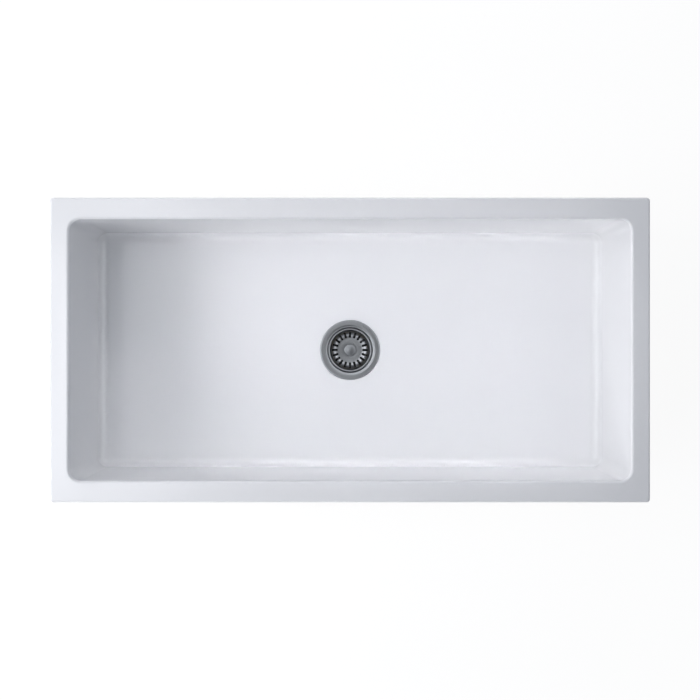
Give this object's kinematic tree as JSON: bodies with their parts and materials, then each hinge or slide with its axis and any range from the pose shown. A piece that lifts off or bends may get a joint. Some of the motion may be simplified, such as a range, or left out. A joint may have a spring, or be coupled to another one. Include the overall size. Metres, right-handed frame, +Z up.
{
  "type": "farmhouse apron front sink",
  "caption": "Single bowl fireclay kitchen sink with a plain apron front, near vertical walls and a centred basket strainer waste with a lift-out slotted plug.",
  "frame": {"origin": "on the drain's axis, at the level of the sink's flat underside, where it rests on its cabinet", "axes": "+X along the sink's length, to the right seen from the front; -Y out of the apron front; +Z up, out of the bowl"},
  "size_m": [1, 0.508, 0.324],
  "materials": {
    "glazed_fireclay": "gloss white glaze",
    "pressed_steel": "satin",
    "turned_steel": "turned",
    "polished_steel": "polished",
    "brass": "machined",
    "seal_rubber": "matt black",
    "waste_plastic": "moulded, fine texture"
  },
  "bodies": {
    "sink_and_waste": {"sink_body": "glazed_fireclay", "flange_seal": "seal_rubber", "waste_flange": "pressed_steel", "body_seal": "seal_rubber", "waste_body": "waste_plastic", "hub_nut": "brass", "screw_seal": "seal_rubber", "centre_screw": "turned_steel"},
    "plug_basket": {"basket": "pressed_steel", "plug_seal": "seal_rubber", "seal_plate": "pressed_steel", "stem_bush": "brass"},
    "knob_and_stem": {"plug_stem": "turned_steel", "stem_rings": "seal_rubber", "stem_clip": "turned_steel", "knob": "polished_steel"}
  },
  "joints": [
    {"name": "basket_lift", "type": "slide", "parent": "sink_and_waste", "child": "plug_basket", "axis": [0, 0, 1], "range_m": [0, 0.3]},
    {"name": "knob_turn", "type": "hinge", "parent": "plug_basket", "child": "knob_and_stem", "pos_m": [0, 0, 0.0075], "axis": [0, 0, 1], "continuous": true}
  ]
}
